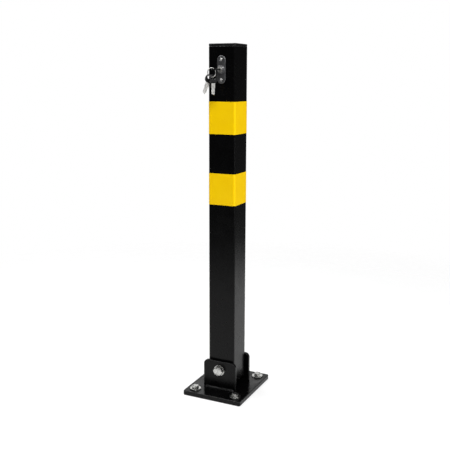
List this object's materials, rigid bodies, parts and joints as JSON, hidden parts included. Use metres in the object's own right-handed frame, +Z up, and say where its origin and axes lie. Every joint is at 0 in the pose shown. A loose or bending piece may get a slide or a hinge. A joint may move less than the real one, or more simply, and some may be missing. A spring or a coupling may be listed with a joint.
{
  "type": "folding parking post",
  "caption": "Square steel post hinged between the lugs of a bolted floor plate and held upright by a key-operated rod that drops into the plate.",
  "frame": {"origin": "centre of the floor plate's underside, on the ground", "axes": "+Z up along the post, -Y out of the face with the lock, Y along the pivot bolt, X the way the post folds"},
  "size_m": [0.135, 0.16, 0.74],
  "materials": {
    "black_powder_coat": "satin black powder coat",
    "black_plastic": "fine-grained black plastic",
    "yellow_reflective_tape": "smooth reflective film",
    "zinc_plate": "bright zinc plate",
    "nickel_plate": "polished nickel plate",
    "dark_satin_chrome": "dark satin plate",
    "spring_steel": "plain oiled steel",
    "nylon": "natural nylon"
  },
  "bodies": {
    "base": {"base_plate": "black_powder_coat", "front_hinge_lug": "black_powder_coat", "rear_hinge_lug": "black_powder_coat", "front_lug_weld": "black_powder_coat", "rear_lug_weld": "black_powder_coat", "pivot_bolt": "zinc_plate", "pivot_bolt_washer": "zinc_plate", "pivot_nut_washer": "zinc_plate", "pivot_lock_nut": "zinc_plate", "front_thrust_washer": "nylon", "rear_thrust_washer": "nylon", "anchor_bolt_1": "zinc_plate", "anchor_bolt_2": "zinc_plate", "anchor_bolt_3": "zinc_plate", "anchor_bolt_4": "zinc_plate", "anchor_washer_1": "zinc_plate", "anchor_washer_2": "zinc_plate", "anchor_washer_3": "zinc_plate", "anchor_washer_4": "zinc_plate"},
    "post": {"post_tube": "black_powder_coat", "pivot_sleeve": "zinc_plate", "top_cap": "black_plastic", "upper_band": "yellow_reflective_tape", "lower_band": "yellow_reflective_tape", "lock_plate": "dark_satin_chrome", "lock_plate_upper_screw": "zinc_plate", "lock_plate_lower_screw": "zinc_plate", "lock_cylinder": "dark_satin_chrome", "cylinder_nut": "zinc_plate", "upper_rod_guide": "zinc_plate", "lower_rod_guide": "zinc_plate", "return_spring": "spring_steel"},
    "plug_and_crank": {"lock_plug": "nickel_plate", "crank_arm": "zinc_plate", "crank_pin": "zinc_plate", "crank_screw": "zinc_plate"},
    "rod_and_yoke": {"lock_rod": "zinc_plate", "rod_yoke": "zinc_plate", "yoke_pin": "spring_steel", "spring_collar": "zinc_plate", "collar_grub_screw": "spring_steel"},
    "lock_key": {"lock_key_blade": "nickel_plate", "lock_key_head": "black_plastic"},
    "key_ring": {"split_ring": "nickel_plate"},
    "spare_key_1": {"spare_key_1_blade": "nickel_plate", "spare_key_1_head": "black_plastic"},
    "spare_key_2": {"spare_key_2_blade": "nickel_plate", "spare_key_2_head": "black_plastic"}
  },
  "joints": [
    {"name": "post_fold", "type": "hinge", "parent": "base", "child": "post", "pos_m": [0, 0, 0.053], "axis": [0, 1, 0], "range_deg": [-91.5, 91.5]},
    {"name": "rod_slide", "type": "slide", "parent": "post", "child": "rod_and_yoke", "axis": [0, 0, -1], "range_m": [0, 0.02], "deforming": ["return_spring"]},
    {"name": "key_turn", "type": "hinge", "parent": "post", "child": "plug_and_crank", "pos_m": [0, -0.0383, 0.689], "axis": [0, -1, 0], "range_deg": [0, 90]},
    {"name": "key_withdraw", "type": "slide", "parent": "plug_and_crank", "child": "lock_key", "axis": [0, -1, 0], "range_m": [0, 0.02]},
    {"name": "ring_hang", "type": "hinge", "parent": "lock_key", "child": "key_ring", "pos_m": [-0.0075, -0.0596, 0.689], "axis": [0, 1, 0], "range_deg": [0, 90]},
    {"name": "spare_key_1_swing", "type": "hinge", "parent": "key_ring", "child": "spare_key_1", "pos_m": [-0.0108, -0.0596, 0.67463], "axis": [-0.8192, 0.5736, 0], "range_deg": [-44, 4]},
    {"name": "spare_key_2_swing", "type": "hinge", "parent": "key_ring", "child": "spare_key_2", "pos_m": [-0.0042, -0.0596, 0.67463], "axis": [-0.8746, 0.4848, 0], "range_deg": [-20, 20]}
  ],
  "couplings": [
    {"joint": "key_turn", "follows": "rod_slide", "rad_per_m": 78.54},
    {"joint": "ring_hang", "follows": "rod_slide", "rad_per_m": 78.54}
  ]
}
